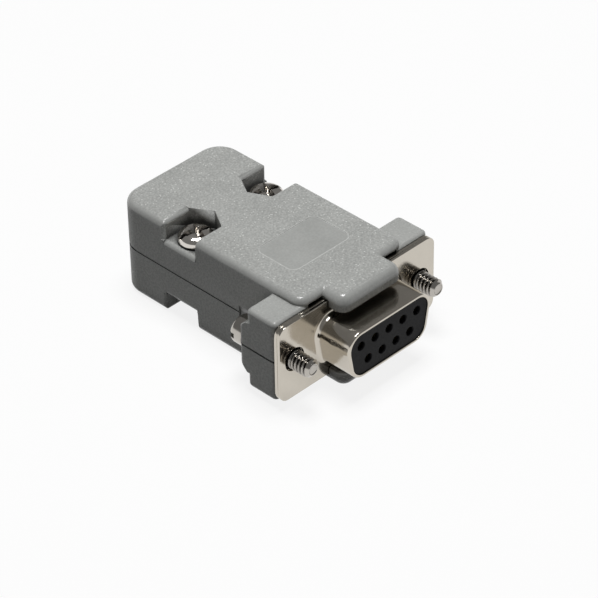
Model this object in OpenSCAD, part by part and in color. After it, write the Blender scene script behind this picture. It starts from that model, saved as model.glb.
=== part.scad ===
// Nine-way D-shaped solder connector in a two-part screwed cable hood.
// The origin is the centre of the flange's front face. +Y is the mating direction, +Z is up, and the
// hood parts along Z = 0. All sizes are in millimetres.

/* [Hood] */
// Width of the hood body across its flat sides
hood_width = 20.5; // [19.6:0.1:24]
// Height of the two hood halves together
hood_height = 15.5; // [15.1:0.1:20]
// Length of the hood behind the connector flange
hood_length = 36.7; // [34:0.1:55]
// Thickness of the hood's side and rear walls
wall = 1.5; // [1:0.1:2]
// Thickness of the hood's broad roof and floor
roof = 1.1; // [0.8:0.1:1.4]
// Plan radius of the hood's rear corners
corner_r = 3.7; // [1.4:0.1:4]
// Plan radius that the front corners have more than the long edges
front_corner_more = 0.7; // [0.2:0.1:1]
// Radius of the hood's inner corners
inner_r = 0.8; // [0.3:0.1:1]
// Radius of the hood's long outer edges
edge_r = 1; // [0.4:0.1:1.2]
// Diameter of the cable entry in the rear wall
entry_d = 8; // [6:0.1:10]
// Width of the round-over at the mouth of the cable entry
entry_flare = 0.6; // [0.2:0.1:1]
// Width and depth of the fine groove along the parting line
seam = 0.12; // [0.05:0.01:0.3]

/* [Ears] */
// Distance of the ears' ends inside the flange's ends
ear_inset = 0.21; // [0:0.01:0.4]
// Reach of the ears above and below the flange
ear_lip = 0.325; // [0:0.005:0.4]
// Thickness of the ears behind the flange, without their seats
ear_depth = 5.6; // [4.8:0.1:8]
// Radius of the ears' outer edges
ear_edge_r = 0.6; // [0.3:0.1:1]
// Plan radius that the ears' outer corners have more than their edges
ear_corner_more = 0.2; // [0.1:0.1:1]
// Height of the flat seat behind each ear
seat_height = 6; // [5.2:0.1:7]
// Depth of the seat behind each ear
seat_depth = 1.5; // [0.8:0.1:2.5]
// Height of the slope above and below the seat
seat_slope = 1.3; // [0.8:0.1:2]

/* [Tongues] */
// Width of the tongues that hold the flange from the front
tongue_width = 12; // [9:0.1:14]
// Reach of the tongues in front of the flange
tongue_reach = 2.9; // [1.6:0.1:4]
// Thickness of the tongues
tongue_thick = 2.75; // [2.1:0.05:2.9]
// Radius of the tongues' edges on the broad faces
tongue_edge_r = 1.5; // [0.5:0.1:1.6]
// Plan radius that the tongues' corners have more than those edges
tongue_corner_more = 0.2; // [0.1:0.1:1]
// Radius of the tongues' edges on the connector's side
tongue_low_r = 0.5; // [0.2:0.1:0.6]
// Length of the rib that backs the flange behind each tongue
tongue_rib = 2.4; // [1.6:0.1:4]

/* [Screw notches] */
// Width across the flats of the six-sided pockets
notch_flats = 6.5; // [6:0.1:7.2]
// Distance of each hood screw from the hood's flat side
notch_inset = 3.3; // [2.8:0.05:3.6]
// Distance of the hood screws from the rear end
notch_setback = 12.9; // [12.4:0.05:18]
// Depth of the notches below the broad faces
notch_depth = 3.05; // [2.4:0.05:3.6]
// Radius of the notches' outer edges
notch_edge_r = 0.7; // [0.2:0.1:1]
// Thickness of the pocket walls inside the hood
pocket_wall = 1.1; // [0.8:0.1:1.4]
// Thickness of the floor under the pockets
pocket_floor = 1.2; // [1:0.1:1.6]
// Diameter of the screw pillars inside the hood
pillar_d = 5.6; // [5:0.1:6.4]

/* [Label panel] */
// Length of the smooth panel across the hood
label_length = 11.6; // [6:0.1:13]
// Width of the smooth panel along the hood
label_width = 7.5; // [4:0.1:9]
// Distance of the panel's front edge behind the flange
label_offset = 6.7; // [5:0.1:9]
// Depth of the panel below the broad face
label_depth = 0.15; // [0.05:0.05:0.4]
// Corner radius of the panel
label_r = 1.3; // [0.5:0.1:2]

/* [Shells] */
// Width of the flange
flange_width = 30.81; // [30:0.01:33]
// Height of the flange
flange_height = 12.55; // [12:0.05:13.2]
// Corner radius of the flange
flange_r = 1.5; // [0.5:0.1:2.5]
// Thickness of the sheet metal
sheet = 0.5; // [0.35:0.05:0.6]
// Distance of the jackscrew holes from the flange's ends
screw_margin = 2.91; // [2.6:0.01:3.2]
// Width of the front D shell, outside
d_width = 16.33; // [16:0.01:17]
// Height of the front D shell, outside
d_height = 7.9; // [7.8:0.01:8.4]
// Reach of the front D shell from the flange
d_reach = 6; // [5:0.05:7]
// Corner radius of the front D shell
d_corner_r = 2.6; // [1.6:0.1:3]
// Slant of the D shells' sides in degrees
d_slant = 10; // [6:0.5:12]
// Radius between the front D shell and its flange
d_root_r = 0.7; // [0.3:0.1:1]
// Width of the rear D shell, outside
rear_width = 19.2; // [18.6:0.1:19.6]
// Height of the rear D shell, outside
rear_height = 10.6; // [10.4:0.1:11]
// Depth of the rear D shell behind the flange
rear_depth = 3.4; // [2.8:0.1:3.6]
// Width of the rear D shell's inward lip
rear_lip = 0.7; // [0.4:0.1:0.9]

/* [Insulators and contacts] */
// Distance between neighbouring contacts in a row
contact_pitch = 2.77; // [2.7:0.01:2.8]
// Distance between the two rows
row_pitch = 2.84; // [2.8:0.01:2.9]
// Outside diameter of a contact
contact_d = 1.8; // [1.5:0.05:1.9]
// Bore of a contact's socket
socket_d = 1.05; // [0.9:0.05:1.2]
// Width of the spring slit in a socket
slit = 0.2; // [0.1:0.05:0.3]
// Diameter of the holes in the mating face
mouth_d = 1.3; // [1.2:0.05:1.4]
// Width of the countersink around each hole
mouth_flare = 0.12; // [0.05:0.01:0.2]
// Share of a socket's depth that is slit
slit_share = 0.65; // [0.4:0.05:0.8]
// Thickness of the mating face in front of the sockets
face_thick = 0.8; // [0.5:0.1:1.2]
// Depth of the mating face behind the shell's rim
face_setback = 0.18; // [0.05:0.01:0.4]
// Width of the collar that holds each contact
collar_rise = 0.25; // [0.15:0.05:0.3]
// Thickness of that collar
collar_thick = 0.8; // [0.5:0.1:1]
// Depth of the front insulator's shoulder behind the front shell
shoulder_depth = 1.4; // [1:0.1:1.6]
// Reach of the rear insulator behind the rear shell
tail_reach = 0.8; // [0.4:0.1:1.5]
// Length of the solder cups behind the rear insulator
cup_length = 4.8; // [3.5:0.1:6]
// Bore of the solder cups
cup_bore = 1.25; // [0.9:0.05:1.3]
// Share of a solder cup's length that is bored
cup_share = 0.65; // [0.5:0.05:0.8]
// Length of the open side of the solder cups
cup_window = 2.2; // [1:0.1:3]

/* [Jackscrews] */
// Thread diameter of the jackscrews
jack_d = 2.84; // [2.5:0.01:2.85]
// Shank diameter of the jackscrews behind the thread
jack_shank_d = 2.3; // [2:0.1:2.5]
// Reach of the jackscrews' thread in front of the flange
jack_reach = 3.5; // [2.5:0.1:6]
// Way that a jackscrew can be drawn back before its thread stops it
jack_travel = 2.4; // [1:0.1:2.6]
// Length of the cone at the jackscrews' tips
jack_tip = 0.35; // [0.1:0.05:0.6]
// Head diameter of the jackscrews
jack_head_d = 4.4; // [4:0.1:5.2]
// Head height of the jackscrews
jack_head_h = 2.5; // [1.6:0.1:3]
// Radius of the jackscrew head's rim
jack_head_r = 0.8; // [0.4:0.1:1.2]

/* [Hood screws] */
// Thread diameter of the hood screws
hood_screw_d = 2.84; // [2.5:0.01:2.9]
// Distance between the hood screws' ends and the lower notches
hood_screw_short = 0.8; // [0.4:0.1:2]
// Head diameter of the hood screws
hood_head_d = 5.3; // [5:0.1:5.8]
// Head height of the hood screws
hood_head_h = 1.8; // [1.4:0.1:2.2]
// Radius of the hood screw head's rim
hood_head_r = 1; // [0.4:0.1:1.2]

/* [Cable clamp] */
// Diameter of the round passage through the clamp
cable_d = 6.2; // [5.8:0.1:6.4]
// Thickness of the clamp straps
strap_thick = 1; // [0.6:0.1:1.2]
// Width of the clamp straps along the cable
strap_width = 4.6; // [4:0.1:4.8]
// Gap between the two straps at their screws
strap_gap = 1; // [0.6:0.1:1.4]
// Distance of the clamp screws' axes from the round passage
clamp_offset = 2.8; // [2.7:0.05:3]
// Thread diameter of the clamp screws
clamp_screw_d = 2; // [1.6:0.1:2]
// Length of the clamp screws below their heads
clamp_screw_length = 4.5; // [3.5:0.1:6]
// Head diameter of the clamp screws
clamp_head_d = 3.6; // [3:0.1:3.7]
// Head height of the clamp screws
clamp_head_h = 1.3; // [0.8:0.1:1.6]
// Thickness of the ribs that hold the straps
strap_rib = 1; // [0.8:0.1:1.1]
// Reach of the pads that carry the straps' ends
strap_pad = 0.35; // [0.2:0.05:0.4]
// Width of those pads along the hood
pad_width = 2.5; // [1.5:0.1:3.5]

/* [Drive recesses] */
// Width of the slots and crosses in the screw heads
slot_width = 0.8; // [0.5:0.05:1]
// Depth of the slots as a share of the head's height
slot_share = 0.45; // [0.3:0.05:0.6]
// Angle of the hood screws' slots from the hood's cross direction
slot_turn = -16; // [-90:1:90]

/* [Clearances] */
// Gap between pieces that are fitted together
fit_gap = 0.05; // [0.02:0.01:0.08]
// Gap between the flange and the tongues' grooves
groove_gap = 0.12; // [0.05:0.01:0.2]
// Gap around the jackscrews' thread in the flange
hole_gap = 0.155; // [0.1:0.005:0.3]
// Gap around the turning jackscrews
turn_gap = 0.18; // [0.1:0.01:0.3]
// Gap behind the ears, under the jackscrews' heads
head_gap = 0.12; // [0.08:0.01:0.3]
// Gap between the jackscrews' heads and the hood's sides
side_gap = 0.3; // [0.2:0.05:0.5]
// Play of the hood screws in the upper half
screw_play = 0.3; // [0.1:0.05:0.5]
// Gap around the clamp straps in the hood
strap_play = 0.1; // [0.05:0.05:0.2]

/* [Hidden] */
$fn = 48;
eps = 0.01;
cut = 1;
slant_tuck = 0.004;
lap = 0.05;

half_width = hood_width / 2;
half_height = hood_height / 2;
shoulder_y = -2 * sheet - fit_gap;
rear_y = shoulder_y - hood_length;
front_corner_r = edge_r + front_corner_more;
cavity_half = half_width - wall;
cavity_top = half_height - roof;
cavity_rear = rear_y + wall;

screw_x = flange_width / 2 - screw_margin;
ear_half = flange_width / 2 - ear_inset;
ear_top = flange_height / 2 + ear_lip;
ear_rear = shoulder_y - ear_depth;
ear_corner_r = ear_edge_r + ear_corner_more;
seat_y = ear_rear - seat_depth;

tongue_low = half_height - tongue_thick;
tongue_corner_r = tongue_edge_r + tongue_corner_more;
groove_top = flange_height / 2 + groove_gap;

notch_offset = half_width - notch_inset;
notch_y = rear_y + notch_setback;
shelf_z = half_height - notch_depth;
hood_screw_length = 2 * shelf_z - hood_screw_short;
pocket_corner = notch_offset - notch_flats / (2 * sqrt(3));

face_z = d_reach - face_setback;
d_inset = sheet + fit_gap;
rear_inset = sheet + fit_gap;
lip_z = -2 * sheet - rear_depth;
split_z = -sheet - shoulder_depth;
tail_z = lip_z - tail_reach;
cup_end = tail_z - cup_length;
collar_d = contact_d + 2 * collar_rise;
bore_d = contact_d + 2 * fit_gap;

clamp_rear = cavity_rear + strap_rib + strap_play;
clamp_y = clamp_rear + strap_width / 2;
clamp_x = cable_d / 2 + clamp_offset;
strap_half = cavity_half - strap_play;
strap_low = strap_gap / 2;
strap_top = strap_low + strap_thick;

hood_grey = "#8d8e8b";
nickel = "#c9c3b6";
black_moulding = "#1d1d1f";
gilt = "#c7a457";

CONTACTS = 9;
TOP_ROW = ceil(CONTACTS / 2);

// Outlines with round corners. The points run anticlockwise and each corner has its own radius.
// A slanted side lies a hair inside its corner arcs, so that the arcs cut it cleanly.

function edge_normal(a, b) = let (d = (b - a) / norm(b - a)) [d.y, -d.x];

function normal_before(pts, i) = edge_normal(pts[(i + len(pts) - 1) % len(pts)], pts[i]);

function normal_after(pts, i) = edge_normal(pts[i], pts[(i + 1) % len(pts)]);

function corner_centre(pts, radii, i) =
    let (a = normal_before(pts, i), b = normal_after(pts, i))
    pts[i] - (a + b) * radii[i] / (1 + a * b);

function heading(v) = atan2(v.y, v.x);

function tuck(n) = abs(n.x * n.y) > eps ? slant_tuck : 0;

function box_points(x0, x1, y0, y1) = [[x0, y0], [x1, y0], [x1, y1], [x0, y1]];

function same(r) = [r, r, r, r];

module rounded_outline(pts, radii, inset = 0) {
    last = len(pts) - 1;
    polygon([
        for (i = [0 : last])
        for (n = [normal_before(pts, i), normal_after(pts, i)])
        corner_centre(pts, radii, i) + n * (radii[i] - inset - tuck(n))
    ]);
    for (i = [0 : last])
        if (radii[i] > inset)
            translate(corner_centre(pts, radii, i)) circle(radii[i] - inset);
}

// Carries a section round an outline: x is the way out from the outline and y is upwards.
module sweep_outline(pts, radii) {
    for (i = [0 : len(pts) - 1]) {
        before = normal_before(pts, i);
        after = normal_after(pts, i);
        j = (i + 1) % len(pts);
        start = corner_centre(pts, radii, i) + after * (radii[i] - tuck(after));
        end = corner_centre(pts, radii, j) + after * (radii[j] - tuck(after));
        more = tuck(after) > 0 ? lap : 0;
        translate(end)
            rotate([90, 0, heading(after)])
            translate([0, 0, -more])
            linear_extrude(norm(end - start) + 2 * more) children();
        translate(corner_centre(pts, radii, i))
            rotate(heading(before))
            rotate_extrude(angle = acos(before * after))
            translate([radii[i], 0]) children();
    }
}

module quarter_disc(r) {
    intersection() {
        circle(r);
        square(r);
    }
}

// Section of a rolled edge, with a lap into the slab behind it.
module rolled_edge(r) {
    quarter_disc(r);
    translate([-lap, 0]) square([lap, r]);
}

// Hollow corner between a wall on the left and a plate below, sunk into both.
module hollow_corner(r, sink) {
    difference() {
        translate([-sink, -sink]) square(r + sink);
        translate([r, r]) circle(r);
    }
}

// Slab with round corners, a rolled upper edge and, if low_r is given, a rolled lower edge.
module soft_slab(pts, radii, z0, z1, top_r, low_r = 0) {
    translate([0, 0, z0 + low_r]) linear_extrude(z1 - z0 - low_r - top_r) rounded_outline(pts, radii);
    translate([0, 0, z0 + low_r]) linear_extrude(z1 - z0 - low_r) rounded_outline(pts, radii, top_r);
    sweep_outline(pts, radii) translate([-top_r, z1 - top_r]) rolled_edge(top_r);
    if (low_r > 0) {
        translate([0, 0, z0]) linear_extrude(z1 - z0 - top_r) rounded_outline(pts, radii, low_r);
        sweep_outline(pts, radii) translate([-low_r, z0 + low_r]) mirror([0, 1]) rolled_edge(low_r);
    }
}

// Turns a shape drawn with its height along Z and its back along Y into the mating direction.
module mating() {
    rotate([90, 0, 180]) children();
}

module both_sides(x) {
    for (side = [-1, 1])
        translate([side * x, 0, 0]) children();
}

// Hood half: the parting face lies on Z = 0 and the broad face is uppermost.

body_points = box_points(-half_width, half_width, rear_y, shoulder_y);
body_radii = [corner_r, corner_r, front_corner_r, front_corner_r];
ear_points = box_points(-ear_half, ear_half, ear_rear, shoulder_y);
seat_points = box_points(-ear_half, ear_half, seat_y, shoulder_y);
tongue_points = box_points(-tongue_width / 2, tongue_width / 2, shoulder_y - tongue_rib, tongue_reach);
label_points = box_points(
    -label_length / 2, label_length / 2, -label_offset - label_width, -label_offset
);

module ear_seats() {
    half_seat = seat_height / 2;
    intersection() {
        linear_extrude(ear_top) rounded_outline(seat_points, same(ear_corner_r));
        rotate([90, 0, 90])
            translate([0, 0, -ear_half])
            linear_extrude(2 * ear_half)
            polygon([
                [shoulder_y - ear_depth / 2, 0],
                [seat_y, 0],
                [seat_y, half_seat],
                [ear_rear, half_seat + seat_slope],
                [shoulder_y - ear_depth / 2, half_seat + seat_slope]
            ]);
    }
}

module hood_outside() {
    soft_slab(body_points, body_radii, 0, half_height, edge_r);
    soft_slab(ear_points, same(ear_corner_r), 0, ear_top, ear_edge_r);
    ear_seats();
}

// Six-sided pocket, wider all round by grow.
module pocket_outline(grow) {
    front = notch_flats / 2 + grow;
    side = front / sqrt(3);
    polygon([
        [2 * side, 0],
        [side, front],
        [-side, front],
        [-2 * side, 0],
        [-side, -front],
        [side, -front]
    ]);
}

// What stays solid inside the hood: pocket walls, screw pillars and the clamp's ribs and pads.
module hood_inner_walls() {
    both_sides(notch_offset) {
        translate([0, notch_y, shelf_z - pocket_floor])
            linear_extrude(half_height) pocket_outline(pocket_wall);
        translate([0, notch_y, 0]) cylinder(d = pillar_d, h = half_height);
    }
    for (side = [0, 1])
        mirror([side, 0, 0]) {
            translate([notch_offset, notch_y - pillar_d / 2, 0])
                cube([half_width, pillar_d, half_height]);
            for (y = [cavity_rear, clamp_rear + strap_width + strap_play])
                translate([cavity_half - strap_rib, y, 0]) cube([wall, strap_rib, half_height]);
            translate([cavity_half - strap_pad, clamp_y - pad_width / 2, strap_top + fit_gap])
                cube([wall, pad_width, half_height]);
        }
}

module hood_cavity() {
    difference() {
        translate([0, 0, -cut])
            linear_extrude(cavity_top + cut)
            rounded_outline(box_points(-cavity_half, cavity_half, cavity_rear, cut), same(inner_r));
        hood_inner_walls();
    }
}

// Room for the rear D shell
module shell_pocket() {
    pocket_half = rear_width / 2 + 2 * fit_gap;
    pocket_top = rear_height / 2 + 2 * fit_gap;
    pocket_rear = lip_z - fit_gap;
    translate([-pocket_half, pocket_rear, -cut])
        cube([2 * pocket_half, shoulder_y + eps - pocket_rear, pocket_top + cut]);
}

// What a rolled edge takes away from a square corner.
module outer_corner(r) {
    difference() {
        square(r + eps);
        circle(r);
    }
}

module hood_notches() {
    reach = half_width + ear_half;
    rear = notch_y - notch_flats / 2;
    r = notch_edge_r;
    both_sides(notch_offset)
        translate([0, notch_y, shelf_z])
        linear_extrude(half_height) pocket_outline(0);
    for (side = [0, 1])
        mirror([side, 0, 0]) {
            translate([notch_offset, rear, shelf_z]) cube([reach, notch_flats, half_height]);
            // Rolled edge along the shelf
            translate([half_width - r, rear + notch_flats, shelf_z - r])
                rotate([90, 0, 0]) linear_extrude(notch_flats) outer_corner(r);
            // Rolled edges along the rear wall of the notch
            translate([pocket_corner, rear - r, half_height - r])
                rotate([90, 0, 90]) linear_extrude(reach) outer_corner(r);
            translate([half_width - r, rear - r, shelf_z])
                linear_extrude(half_height) outer_corner(r);
        }
}

module hood_plan(inset) {
    rounded_outline(body_points, body_radii, inset);
    rounded_outline(seat_points, same(ear_corner_r), inset);
}

module seam_groove() {
    translate([0, 0, -cut])
        linear_extrude(cut + seam)
        difference() {
            hood_plan(-seam);
            hood_plan(seam);
        }
}

// Jackscrew holes, narrower behind the thread so that the screws stay captive, and room for the heads.
module jack_holes() {
    head_room = jack_head_h + jack_travel;
    both_sides(screw_x)
        mating() {
            translate([0, 0, seat_y - head_gap / 2 - head_room])
                cylinder(d = jack_head_d + 2 * side_gap, h = head_room);
            translate([0, 0, seat_y - cut])
                cylinder(d = jack_shank_d + 2 * turn_gap, h = 2 * cut - seat_y);
            translate([0, 0, -jack_travel])
                cylinder(d = jack_d + 2 * turn_gap, h = jack_travel + cut);
        }
}

// Room for the clamp screws' heads
module clamp_rooms() {
    both_sides(clamp_x)
        translate([0, clamp_y, strap_top])
        cylinder(d = clamp_head_d + 2 * strap_play, h = clamp_head_h + strap_play);
}

module cable_entry() {
    mating() {
        translate([0, 0, rear_y - cut]) cylinder(d = entry_d, h = wall + 2 * cut);
        translate([0, 0, rear_y])
            cylinder(d1 = entry_d + 2 * entry_flare, d2 = entry_d, h = entry_flare);
    }
}

module hood_half(screw_d) {
    color(hood_grey)
    difference() {
        union() {
            difference() {
                hood_outside();
                hood_cavity();
                hood_notches();
            }
            soft_slab(
                tongue_points, same(tongue_corner_r),
                tongue_low, half_height, tongue_edge_r, tongue_low_r
            );
        }
        shell_pocket();
        // Groove that takes the flange
        translate([-ear_half, shoulder_y, -cut])
            cube([2 * ear_half, fit_gap - shoulder_y, groove_top + cut]);
        both_sides(notch_offset)
            translate([0, notch_y, -cut]) cylinder(d = screw_d, h = half_height + cut);
        jack_holes();
        clamp_rooms();
        cable_entry();
        translate([0, 0, half_height - label_depth])
            linear_extrude(cut) rounded_outline(label_points, same(label_r));
        seam_groove();
    }
}

module hood_upper() {
    hood_half(hood_screw_d + screw_play);
}

module hood_lower() {
    rotate([0, 180, 0]) hood_half(hood_screw_d + 2 * fit_gap);
}

// D shells: drawn with the mating direction along Z.

function d_points(w, h, r) =
    let (
        top = w / 2 + r * (tan(d_slant) + 1 / cos(d_slant) - 1),
        low = top - h * tan(d_slant)
    )
    [[-low, -h / 2], [low, -h / 2], [top, h / 2], [-top, h / 2]];

front_d = d_points(d_width, d_height, d_corner_r);
rear_d = d_points(rear_width, rear_height, d_corner_r);
d_radii = same(d_corner_r);
flange_points = box_points(-flange_width / 2, flange_width / 2, -flange_height / 2, flange_height / 2);

module flange_plate(z0) {
    translate([0, 0, z0])
        linear_extrude(sheet)
        difference() {
            rounded_outline(flange_points, same(flange_r));
            both_sides(screw_x) circle(d = jack_d + 2 * hole_gap);
        }
}

module front_shell() {
    color(nickel)
    mating()
    difference() {
        union() {
            flange_plate(-sheet);
            translate([0, 0, -sheet]) linear_extrude(sheet + d_reach) rounded_outline(front_d, d_radii);
            sweep_outline(front_d, d_radii) hollow_corner(d_root_r, sheet / 2);
        }
        translate([0, 0, -sheet - cut])
            linear_extrude(sheet + d_reach + 2 * cut) rounded_outline(front_d, d_radii, sheet);
    }
}

module rear_shell() {
    color(nickel)
    mating()
    difference() {
        union() {
            flange_plate(-2 * sheet);
            translate([0, 0, lip_z]) linear_extrude(rear_depth + sheet) rounded_outline(rear_d, d_radii);
        }
        translate([0, 0, lip_z + sheet])
            linear_extrude(rear_depth + cut) rounded_outline(rear_d, d_radii, sheet);
        translate([0, 0, lip_z - cut])
            linear_extrude(sheet + 2 * cut) rounded_outline(rear_d, d_radii, sheet + rear_lip);
    }
}

// Contacts: 1 to 5 in the upper row and 6 to 9 in the lower row, from the left as seen from the front.

function contact_place(i) =
    i <= TOP_ROW
    ? [(i - 1 - (TOP_ROW - 1) / 2) * contact_pitch, row_pitch / 2]
    : [(i - TOP_ROW - 1 - (CONTACTS - TOP_ROW - 1) / 2) * contact_pitch, -row_pitch / 2];

module at_contacts() {
    for (i = [1 : CONTACTS])
        translate(contact_place(i)) children();
}

module front_insulator() {
    color(black_moulding)
    mating()
    difference() {
        union() {
            translate([0, 0, split_z])
                linear_extrude(face_z - split_z) rounded_outline(front_d, d_radii, d_inset);
            translate([0, 0, split_z])
                linear_extrude(shoulder_depth - fit_gap) rounded_outline(rear_d, d_radii, rear_inset);
        }
        at_contacts() {
            translate([0, 0, split_z - cut])
                cylinder(d = bore_d, h = face_z - face_thick - split_z + cut);
            translate([0, 0, split_z - cut])
                cylinder(d = collar_d + 2 * fit_gap, h = collar_thick / 2 + fit_gap + cut);
            cylinder(d = mouth_d, h = face_z + cut);
            translate([0, 0, face_z - mouth_flare])
                cylinder(d1 = mouth_d, d2 = mouth_d + 2 * mouth_flare, h = mouth_flare + eps);
        }
    }
}

module rear_insulator() {
    color(black_moulding)
    mating()
    difference() {
        union() {
            translate([0, 0, lip_z + sheet + fit_gap])
                linear_extrude(split_z - lip_z - sheet - fit_gap)
                rounded_outline(rear_d, d_radii, rear_inset);
            translate([0, 0, tail_z])
                linear_extrude(split_z - tail_z) rounded_outline(rear_d, d_radii, rear_inset + rear_lip);
        }
        at_contacts() {
            translate([0, 0, tail_z - cut]) cylinder(d = bore_d, h = split_z - tail_z + 2 * cut);
            translate([0, 0, split_z - collar_thick / 2 - fit_gap])
                cylinder(d = collar_d + 2 * fit_gap, h = collar_thick);
        }
    }
}

module contact(i) {
    socket_end = face_z - face_thick - fit_gap;
    socket_depth = socket_end - split_z - collar_thick;
    row_turn = i <= TOP_ROW ? 0 : 180;
    color(gilt)
    mating()
    translate(contact_place(i))
    rotate(row_turn)
    difference() {
        union() {
            translate([0, 0, cup_end]) cylinder(d = contact_d, h = socket_end - cup_end);
            translate([0, 0, split_z - collar_thick / 2]) cylinder(d = collar_d, h = collar_thick);
        }
        translate([0, 0, socket_end - socket_depth]) cylinder(d = socket_d, h = socket_depth + cut);
        translate([-slit / 2, -contact_d, socket_end - socket_depth * slit_share])
            cube([slit, 2 * contact_d, socket_depth]);
        translate([0, 0, cup_end - cut]) cylinder(d = cup_bore, h = cup_length * cup_share + cut);
        translate([-contact_d, 0, cup_end - cut]) cube([2 * contact_d, contact_d, cup_window + cut]);
    }
}

// Screws: drawn with the head's underside on Z = 0 and the head upwards.

module screw_head(d, h, rim_r, cross) {
    depth = h * slot_share;
    difference() {
        rotate_extrude()
            intersection() {
                rounded_outline(box_points(-d / 2, d / 2, -h, h), same(rim_r));
                square([d, h]);
            }
        translate([-d, -slot_width / 2, h - depth]) cube([2 * d, slot_width, depth + cut]);
        if (cross)
            translate([-slot_width / 2, -d / 4, h - depth]) cube([slot_width, d / 2, depth + cut]);
    }
}

module jackscrew() {
    head_y = seat_y - head_gap;
    color(nickel)
    mating() {
        translate([0, 0, head_y])
            mirror([0, 0, 1]) screw_head(jack_head_d, jack_head_h, jack_head_r, false);
        translate([0, 0, head_y - eps]) cylinder(d = jack_shank_d, h = 2 * eps - head_y);
        cylinder(d = jack_d, h = jack_reach - jack_tip);
        translate([0, 0, jack_reach - jack_tip])
            cylinder(d1 = jack_d, d2 = jack_d - 2 * jack_tip, h = jack_tip);
    }
}

module jackscrew_left() {
    translate([-screw_x, 0, 0]) jackscrew();
}

module jackscrew_right() {
    translate([screw_x, 0, 0]) jackscrew();
}

module hood_screws() {
    color(nickel)
    both_sides(notch_offset)
    translate([0, notch_y, shelf_z]) {
        rotate(slot_turn) screw_head(hood_head_d, hood_head_h, hood_head_r, true);
        translate([0, 0, -hood_screw_length]) cylinder(d = hood_screw_d, h = hood_screw_length + eps);
    }
}

// Cable clamp: two arched straps drawn together by two screws.

module clamp_strap(hole_d) {
    arch_r = cable_d / 2;
    difference() {
        translate([0, clamp_y + strap_width / 2, 0])
            rotate([90, 0, 0])
            linear_extrude(strap_width)
            difference() {
                union() {
                    translate([-strap_half, strap_low]) square([2 * strap_half, strap_thick]);
                    circle(arch_r + strap_thick);
                }
                circle(arch_r);
                translate([-strap_half, strap_low - strap_half]) square([2 * strap_half, strap_half]);
            }
        both_sides(clamp_x) translate([0, clamp_y, 0]) cylinder(d = hole_d, h = strap_top + cut);
    }
}

module clamp_strap_upper() {
    color(nickel) clamp_strap(clamp_screw_d + screw_play);
}

module clamp_strap_lower() {
    color(nickel) rotate([0, 180, 0]) clamp_strap(clamp_screw_d + 2 * fit_gap);
}

module clamp_screws() {
    color(nickel)
    both_sides(clamp_x)
    translate([0, clamp_y, strap_top]) {
        screw_head(clamp_head_d, clamp_head_h, clamp_head_h / 2, false);
        translate([0, 0, -clamp_screw_length]) cylinder(d = clamp_screw_d, h = clamp_screw_length + eps);
    }
}

hood_upper();
hood_lower();
front_shell();
rear_shell();
front_insulator();
rear_insulator();
for (i = [1 : CONTACTS])
    contact(i);
jackscrew_left();
jackscrew_right();
hood_screws();
clamp_strap_upper();
clamp_strap_lower();
clamp_screws();
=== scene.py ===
"""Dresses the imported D-sub solder connector and sets it on a pale studio floor."""

import math

import bmesh
import bpy
from bpy.props import FloatProperty, FloatVectorProperty, IntProperty, PointerProperty
from mathutils import Matrix, Vector


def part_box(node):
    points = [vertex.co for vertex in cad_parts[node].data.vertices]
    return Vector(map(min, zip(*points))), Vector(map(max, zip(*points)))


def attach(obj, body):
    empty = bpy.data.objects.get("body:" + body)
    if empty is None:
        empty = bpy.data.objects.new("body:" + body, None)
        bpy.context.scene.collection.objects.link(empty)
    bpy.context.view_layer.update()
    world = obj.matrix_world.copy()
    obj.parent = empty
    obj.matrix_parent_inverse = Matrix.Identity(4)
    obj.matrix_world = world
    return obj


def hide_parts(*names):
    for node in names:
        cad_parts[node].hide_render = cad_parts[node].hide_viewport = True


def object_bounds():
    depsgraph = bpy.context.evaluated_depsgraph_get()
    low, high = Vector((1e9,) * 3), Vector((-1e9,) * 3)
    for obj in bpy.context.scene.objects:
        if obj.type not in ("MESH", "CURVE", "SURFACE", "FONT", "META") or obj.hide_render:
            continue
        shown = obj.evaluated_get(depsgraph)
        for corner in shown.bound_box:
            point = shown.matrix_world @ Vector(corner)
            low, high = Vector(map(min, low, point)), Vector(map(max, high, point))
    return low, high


bl_info = {
    "name": "D-sub solder connector",
    "version": (1, 0, 0),
    "blender": (4, 5, 0),
    "location": "View3D > Sidebar > Connector",
    "description": "Builds the looks of a hooded D-sub solder connector around its CAD frame",
    "category": "Object",
}

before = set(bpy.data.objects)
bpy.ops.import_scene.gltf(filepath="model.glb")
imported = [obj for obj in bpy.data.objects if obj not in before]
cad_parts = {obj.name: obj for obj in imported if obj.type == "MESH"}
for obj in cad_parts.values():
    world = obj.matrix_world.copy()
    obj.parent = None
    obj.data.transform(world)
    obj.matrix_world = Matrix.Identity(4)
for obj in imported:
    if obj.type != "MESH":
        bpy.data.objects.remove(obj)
CAD_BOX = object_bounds()

HOOD = "hood"
HOOD_HALVES = ("hood_upper", "hood_lower")
SHELLS = ("front_shell", "rear_shell")
INSULATORS = ("front_insulator", "rear_insulator")
CONTACTS = ["contact_%d" % i for i in range(1, 10)]
JACKSCREWS = ("jackscrew_left", "jackscrew_right")
STRAPS = ("clamp_strap_upper", "clamp_strap_lower")

MM = 0.001
NEAR = 0.001 * MM  # points closer than this are one point
STEP = 0.01 * MM  # shortest step between two rings, and between the part and the floor
BLACK = (0.0, 0.0, 0.0)
WHITE = (1.0, 1.0, 1.0, 1.0)

# Bands are the values from which a pattern starts to show and at which it shows in full.
NOISE_BAND = (0.3, 0.7)  # where most of a noise's values lie

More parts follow.
